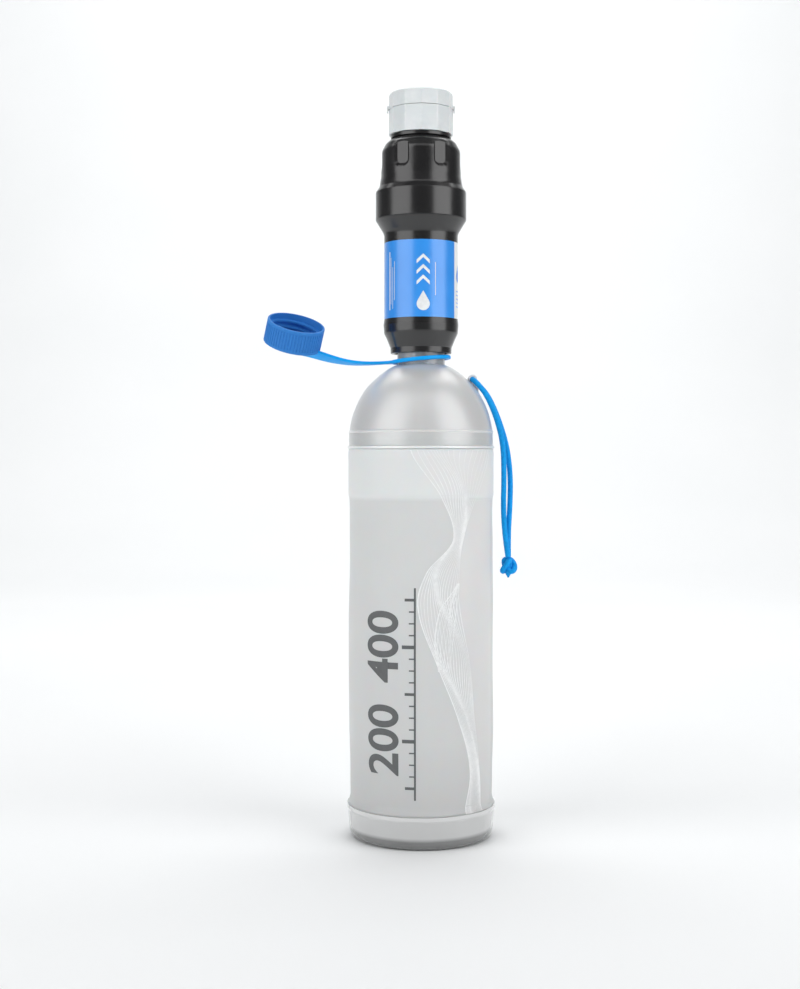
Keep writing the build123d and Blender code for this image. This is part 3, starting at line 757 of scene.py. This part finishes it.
def make_label_print():
    """White chevrons and drop at the front, thin rules at the left, a blue drop and rules on the panel."""
    white = ink("label_white", (0.88, 0.90, 0.91), 0.32)
    blue = ink("label_blue", (0.024, 0.21, 0.78), 0.32)
    front = bmesh.new()
    low = label_low.z
    add_droplet(front, (0.9 * MM, low + 6.6 * MM), 3.4 * MM)
    for index in range(3):
        add_chevron(front, (0.9 * MM, low + (16.4 + 5.4 * index) * MM), 6.8 * MM, 3.2 * MM, 1.9 * MM)
    add_bar(front, 7.2 * MM, 7.5 * MM, low + 11 * MM, low + 28 * MM)
    for index, (bottom, top) in enumerate(((4, 34), (7, 31), (4.5, 26), (9, 29))):
        left = (-19.6 + 1.35 * index) * MM
        add_bar(front, left, left + (0.75 if index == 0 else 0.3) * MM, low + bottom * MM, low + top * MM)
    art = wrapped("label_art", front, on_label, white)
    side = bmesh.new()
    add_droplet(side, (27.0 * MM, low + 22 * MM), 3.0 * MM)
    for index in range(5):
        add_bar(side, 23.8 * MM, 30.2 * MM, low + (6 + 2 * index) * MM, low + (6.5 + 2 * index) * MM)
    panel = wrapped("label_panel_art", side, on_label, blue)
    return [art, panel]


# ---------------------------------------------------------------- tether

STRAP_THICKNESS = 1.5 * MM
RING_TILT = radians(5.1)


def rounded_section(width, thickness, corner=0.55 * MM, steps=3):
    """Points of a rounded rectangle round its centre."""
    points = []
    for quarter in range(4):
        centre_x = (width / 2 - corner) * (1 if quarter in (0, 3) else -1)
        centre_y = (thickness / 2 - corner) * (1 if quarter in (0, 1) else -1)
        for step in range(steps + 1):
            turn = pi / 2 * (quarter + step / steps)
            points.append((centre_x + corner * cos(turn), centre_y + corner * sin(turn)))
    return points


def capped_loft(name, sections):
    """Closed mesh through equal-sized loops of points."""
    count = len(sections[0])
    vertices = [point for section in sections for point in section]
    faces = grid_faces(len(sections), count)
    faces.append(tuple(reversed(range(count))))
    faces.append(tuple(range(len(vertices) - count, len(vertices))))
    return mesh_object(name, vertices, faces)


def turned_ring(name, outline, frame_matrix, columns=96):
    """Ring of revolution of a closed (radius, height) outline, in a local frame."""
    vertices = []
    for column in range(columns):
        turn = 2 * pi * column / columns
        for radius, height in outline:
            vertices.append(frame_matrix @ Vector((radius * cos(turn), radius * sin(turn), height)))
    return mesh_object(name, vertices, grid_faces(columns, len(outline), close_rows=True))


def cap_frame():
    """Local frame of the tether cap: origin in its closed end, Z out of its mouth, X towards the bottle."""
    joint = joints["cap_spin"]
    up = Vector(joint["axis"]).normalized()
    across = (Vector((1, 0, 0)) - up * up.x).normalized()
    rotation = Matrix((across, up.cross(across), up)).transposed().to_4x4()
    return Matrix.Translation(Vector(joint["pos_m"])) @ rotation


# The strap's centre line and section: x, rise, roll in degrees, width.
STRAP_STOPS = [
    (-13.6, -1.2, 0, 13.6), (-15.6, -1.35, 0, 10.4), (-18.0, -1.5, 0, 7.6), (-21.5, -1.7, 1, 6.4),
    (-27.0, -1.9, 3, 6.5), (-33.0, -1.8, 7, 7.0), (-39.0, -1.2, 12, 7.6), (-45.0, 0.0, 17, 8.2),
    (-51.0, 1.6, 21, 8.8), (-57.0, 3.4, 22, 9.3), (-63.0, 4.9, 22, 9.6),
]


def make_tether():
    """Ring round the neck, flat strap and the pad under the cap, all one flexible moulding."""
    middle = (tether_low.z + tether_high.z) / 2 + 0.3 * MM
    inner, outer = 12.8 * MM, tether_high.x
    tilt = Matrix.Translation((0, 0, middle)) @ Matrix.Rotation(-RING_TILT, 4, "Y")
    section = rounded_section(outer - inner, tether_high.z - tether_low.z, 0.6 * MM)
    outline = [((inner + outer) / 2 + x, y) for x, y in section]
    ring = turned_ring("ring", outline, tilt, 128)
    stops = [STRAP_STOPS[0], *STRAP_STOPS, STRAP_STOPS[-1]]
    line = []
    for index in range(len(STRAP_STOPS) - 1):
        for step in range(6):
            line.append(catmull(*stops[index:index + 4], step / 6))
    line.append(STRAP_STOPS[-1])
    sections = []
    for index, (x, rise, roll, width) in enumerate(line):
        before, after = line[max(index - 1, 0)], line[min(index + 1, len(line) - 1)]
        along = Vector((after[0] - before[0], 0, after[1] - before[1])).normalized()
        across = Matrix.Rotation(radians(roll), 3, along) @ Vector((0, -1, 0))
        up = across.cross(along)
        centre = Vector((x, 0, rise)) * MM + Vector((0, 0, middle))
        points = rounded_section(width * MM, STRAP_THICKNESS)
        sections.append([centre + across * a + up * b for a, b in points])
    strap = capped_loft("strap", sections)
    pad_middle, pad_width, pad_gap = 5.55 * MM, 4.9 * MM, 0.3 * MM
    pad_section = rounded_section(pad_width, STRAP_THICKNESS)
    pad_outline = [(pad_middle + x, y - pad_gap - STRAP_THICKNESS / 2) for x, y in pad_section]
    pad = turned_ring("pad", pad_outline, cap_frame(), 64)
    tether = join("tether", [ring, strap, pad])
    tether.data.materials.append(blue_plastic())
    for face in tether.data.polygons:
        face.use_smooth = True
    return tether


# ---------------------------------------------------------------- cord

CORD_R = 1.4 * MM
FRONT_LEG = [
    (26.9, 0.0, 238.2), (26.9, -3.6, 238.2), (29.9, -5.4, 235.4), (34.6, -5.0, 229.4), (39.6, -4.2, 217.6),
    (43.0, -3.4, 204.2), (43.4, -2.8, 187.0), (43.0, -2.4, 170.0), (44.0, -2.0, 155.6), (45.6, -1.6, 145.0),
]
BACK_LEG = [
    (26.9, 0.0, 238.2), (26.9, 3.6, 238.2), (30.4, 5.2, 235.8), (35.8, 4.6, 229.6), (41.2, 3.6, 217.0),
    (45.4, 2.8, 203.0), (47.2, 2.4, 187.4), (46.8, 2.0, 171.0), (45.8, 1.8, 156.0), (46.0, 1.6, 145.2),
]


def spline_points(route):
    """Points that Blender's own smooth spline gives along a route."""
    curve = bpy.data.curves.new("route", "CURVE")
    curve.dimensions = "3D"
    curve.resolution_u = 24
    spline = curve.splines.new("NURBS")
    spline.points.add(len(route) - 1)
    for point, place_at in zip(spline.points, route):
        point.co = (*(value * MM for value in place_at), 1)
    spline.order_u = 3
    spline.use_endpoint_u = True
    drawn = bpy.data.objects.new("route", curve)
    bpy.context.collection.objects.link(drawn)
    bpy.context.view_layer.update()
    mesh = bpy.data.meshes.new_from_object(drawn.evaluated_get(bpy.context.evaluated_depsgraph_get()))
    points = [vertex.co.copy() for vertex in mesh.vertices]
    bpy.data.objects.remove(drawn)
    bpy.data.meshes.remove(mesh)
    return points


def spaced(points, spacing):
    """The same line with evenly spaced points."""
    lengths = [0.0]
    for before, after in zip(points, points[1:]):
        lengths.append(lengths[-1] + (after - before).length)
    count = max(round(lengths[-1] / spacing), 2)
    made, segment = [], 0
    for step in range(count + 1):
        target = lengths[-1] * step / count
        while segment < len(points) - 2 and lengths[segment + 1] < target:
            segment += 1
        span = lengths[segment + 1] - lengths[segment]
        made.append(points[segment].lerp(points[segment + 1], (target - lengths[segment]) / span))
    return made


BRAID_STRANDS = 8
BRAID_PITCH = 7.0 * MM


def braid_height(turn, run):
    """Height of the braid, 0 to 1: two sets of strands that pass over and under each other."""
    right = BRAID_STRANDS * (turn / (2 * pi) + run / BRAID_PITCH)
    left = BRAID_STRANDS * (turn / (2 * pi) - run / BRAID_PITCH)
    over = 0.5 + 0.5 * sin(pi * (right + left)) * sin(pi * (right - left))
    first = abs(cos(pi * right)) ** 0.5
    second = abs(cos(pi * left)) ** 0.5
    return over * first + (1 - over) * second


def braided_tube(name, points, radius, closed=False, columns=28, end_scale=1.0):
    """Braided cord along a line of points, turned as little as possible along the way."""
    count = len(points)
    normal = Vector((0, 1, 0))
    vertices, run = [], 0.0
    for index, point in enumerate(points):
        before = points[index - 1] if closed or index else point
        after = points[(index + 1) % count] if closed or index < count - 1 else point
        along = (after - before).normalized()
        normal = (normal - along * normal.dot(along)).normalized()
        side = along.cross(normal)
        if index:
            run += (point - points[index - 1]).length
        taper = radius * (1 + (end_scale - 1) * smoothstep(2 * index / count - 1))
        for column in range(columns):
            turn = 2 * pi * column / columns
            reach = taper * (0.93 + 0.09 * braid_height(turn, run))
            vertices.append(point + normal * reach * cos(turn) + side * reach * sin(turn))
    faces = grid_faces(count, columns, close_rows=closed)
    if not closed:
        faces.append(tuple(reversed(range(columns))))
        faces.append(tuple(range(count * columns - columns, count * columns)))
    return mesh_object(name, vertices, faces)


def make_knot(sheath):
    """Tight knot of the doubled cord, drawn to a point by its two cut ends."""
    low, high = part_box("cord_knot")
    centre = (low + high) / 2 + Vector((0, 0, 1.1 * MM))
    steps = 280
    winding = []
    for step in range(steps):
        turn = 2 * pi * step / steps
        reach = 2.0 + 1.45 * cos(3 * turn + 0.5)
        around = Vector((reach * cos(2 * turn), 0.9 * reach * sin(2 * turn), 3.1 * sin(3 * turn)))
        winding.append(centre + around * MM)
    pieces = [braided_tube("winding", winding, CORD_R, closed=True)]
    for name, side in (("end_front", -1), ("end_back", 1)):
        tail = []
        for step in range(18):
            along = step / 17
            below = Vector((0.5 * side * (1 - along), 1.5 * side * (1 - along), -1.6 - 4.6 * along))
            tail.append(centre + below * MM)
        pieces.append(braided_tube(name, tail, 1.3 * MM, end_scale=0.35))
    knot = join("lanyard_knot", pieces)
    knot.data.materials.append(sheath)
    for face in knot.data.polygons:
        face.use_smooth = True
    return knot


def make_cords():
    sheath = cord_sheath()
    knot = make_knot(sheath)
    legs = (("cord_front", "cord_leg_front", FRONT_LEG), ("cord_back", "cord_leg_back", BACK_LEG))
    for name, node, route in legs:
        points = spaced(spline_points(route), 0.3 * MM)
        leg = braided_tube(name, points, CORD_R)
        leg.data.materials.append(sheath)
        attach(leg, "shoulder")
        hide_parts(node)
    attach(knot, "shoulder")
    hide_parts("cord_knot")


# ---------------------------------------------------------------- assembly

def dress(material, *nodes):
    """Gives CAD nodes a material."""
    for name in nodes:
        mesh = frame["nodes"][name].data
        mesh.materials.clear()
        mesh.materials.append(material)


def dress_box(node, material, low, high):
    """Gives a CAD node's faces inside a box one more material."""
    mesh = frame["nodes"][node].data
    mesh.materials.append(material)
    added = len(mesh.materials) - 1
    for face in mesh.polygons:
        corners = [mesh.vertices[index].co for index in face.vertices]
        if all(low[axis] <= corner[axis] <= high[axis] for corner in corners for axis in range(3)):
            face.material_index = added


make_camera()
make_lights()
make_cords()
make_floor()

sleeve = make_sleeve()
scale_print = make_scale_print()
wave_print, wave_wash = make_wave_print()
store_rest_place(sleeve)
store_rest_place(wave_wash)
for film_piece in (sleeve, scale_print, wave_print, wave_wash):
    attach(film_piece, "base")
    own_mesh(film_piece)
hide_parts("bottle_sleeve")

for print_piece in make_label_print():
    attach(print_piece, "filter")

tether = make_tether()
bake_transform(tether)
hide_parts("tether_ring", "tether_strap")

dress(cup_plastic(), "base_cup")
dress(frosted_plastic(), "bottle_shoulder", "sleeve_ring")
dress_box("bottle_shoulder", clear_plastic(), (-1, -1, neck_foot), (1, 1, 1))
# The cord tab's faces get a paler material, a painted highlight.
dress_box(
    "bottle_shoulder", eyelet_painted_highlight(),
    (EYELET_INNER, -EYELET_HALF, EYELET_LOW), (1, EYELET_HALF, neck_foot),
)
dress(black_plastic(), "lower_housing", "upper_housing")
dress(white_plastic(), "push_pull_nozzle", "dust_cover", "outlet_stem")
dress(label_film(), "label_wrap")
dress(bpy.data.materials["blue_plastic"], "tether_cap")
dress(liner_foam(), "cap_liner")
dress(rubber(), "inlet_gasket", "housing_oring", "nozzle_oring")
dress(cage_plastic(), "fibre_cage", "potting_collar")
dress(potting_resin(), "potting_block")
dress(fibre_white(), "fibre_bundle")
